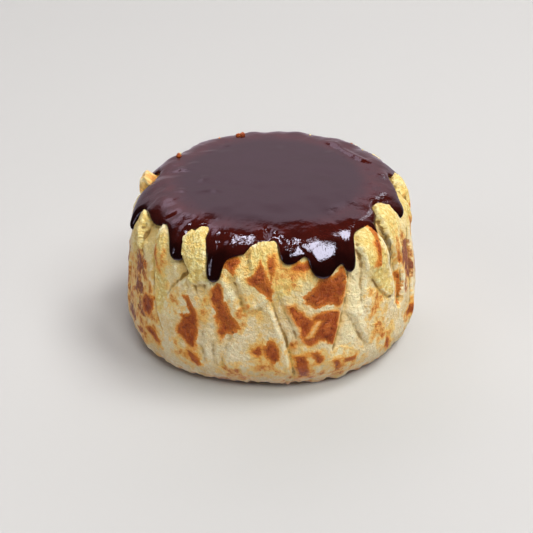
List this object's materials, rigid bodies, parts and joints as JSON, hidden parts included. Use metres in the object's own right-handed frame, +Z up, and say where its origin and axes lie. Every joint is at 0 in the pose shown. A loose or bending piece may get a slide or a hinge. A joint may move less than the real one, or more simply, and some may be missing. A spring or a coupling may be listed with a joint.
{
  "type": "glazed basque cheesecake",
  "caption": "Tall round baked cheesecake with paper-pressed folds down its side and a poured glossy chocolate glaze that runs over the rim in drips.",
  "frame": {"origin": "middle of the flat base, where the cake rests", "axes": "+Z up out of the base, +X to the right and -Y to the front as seen from the side with the broad double drip"},
  "size_m": [0.1467, 0.1428, 0.0806],
  "materials": {
    "crumb": "matte baked cheesecake, pale yellow with orange-brown browned patches",
    "chocolate_glaze": "glossy dark chocolate glaze"
  },
  "bodies": {
    "root": {"cake": "crumb", "glaze": "chocolate_glaze"}
  },
  "joints": []
}
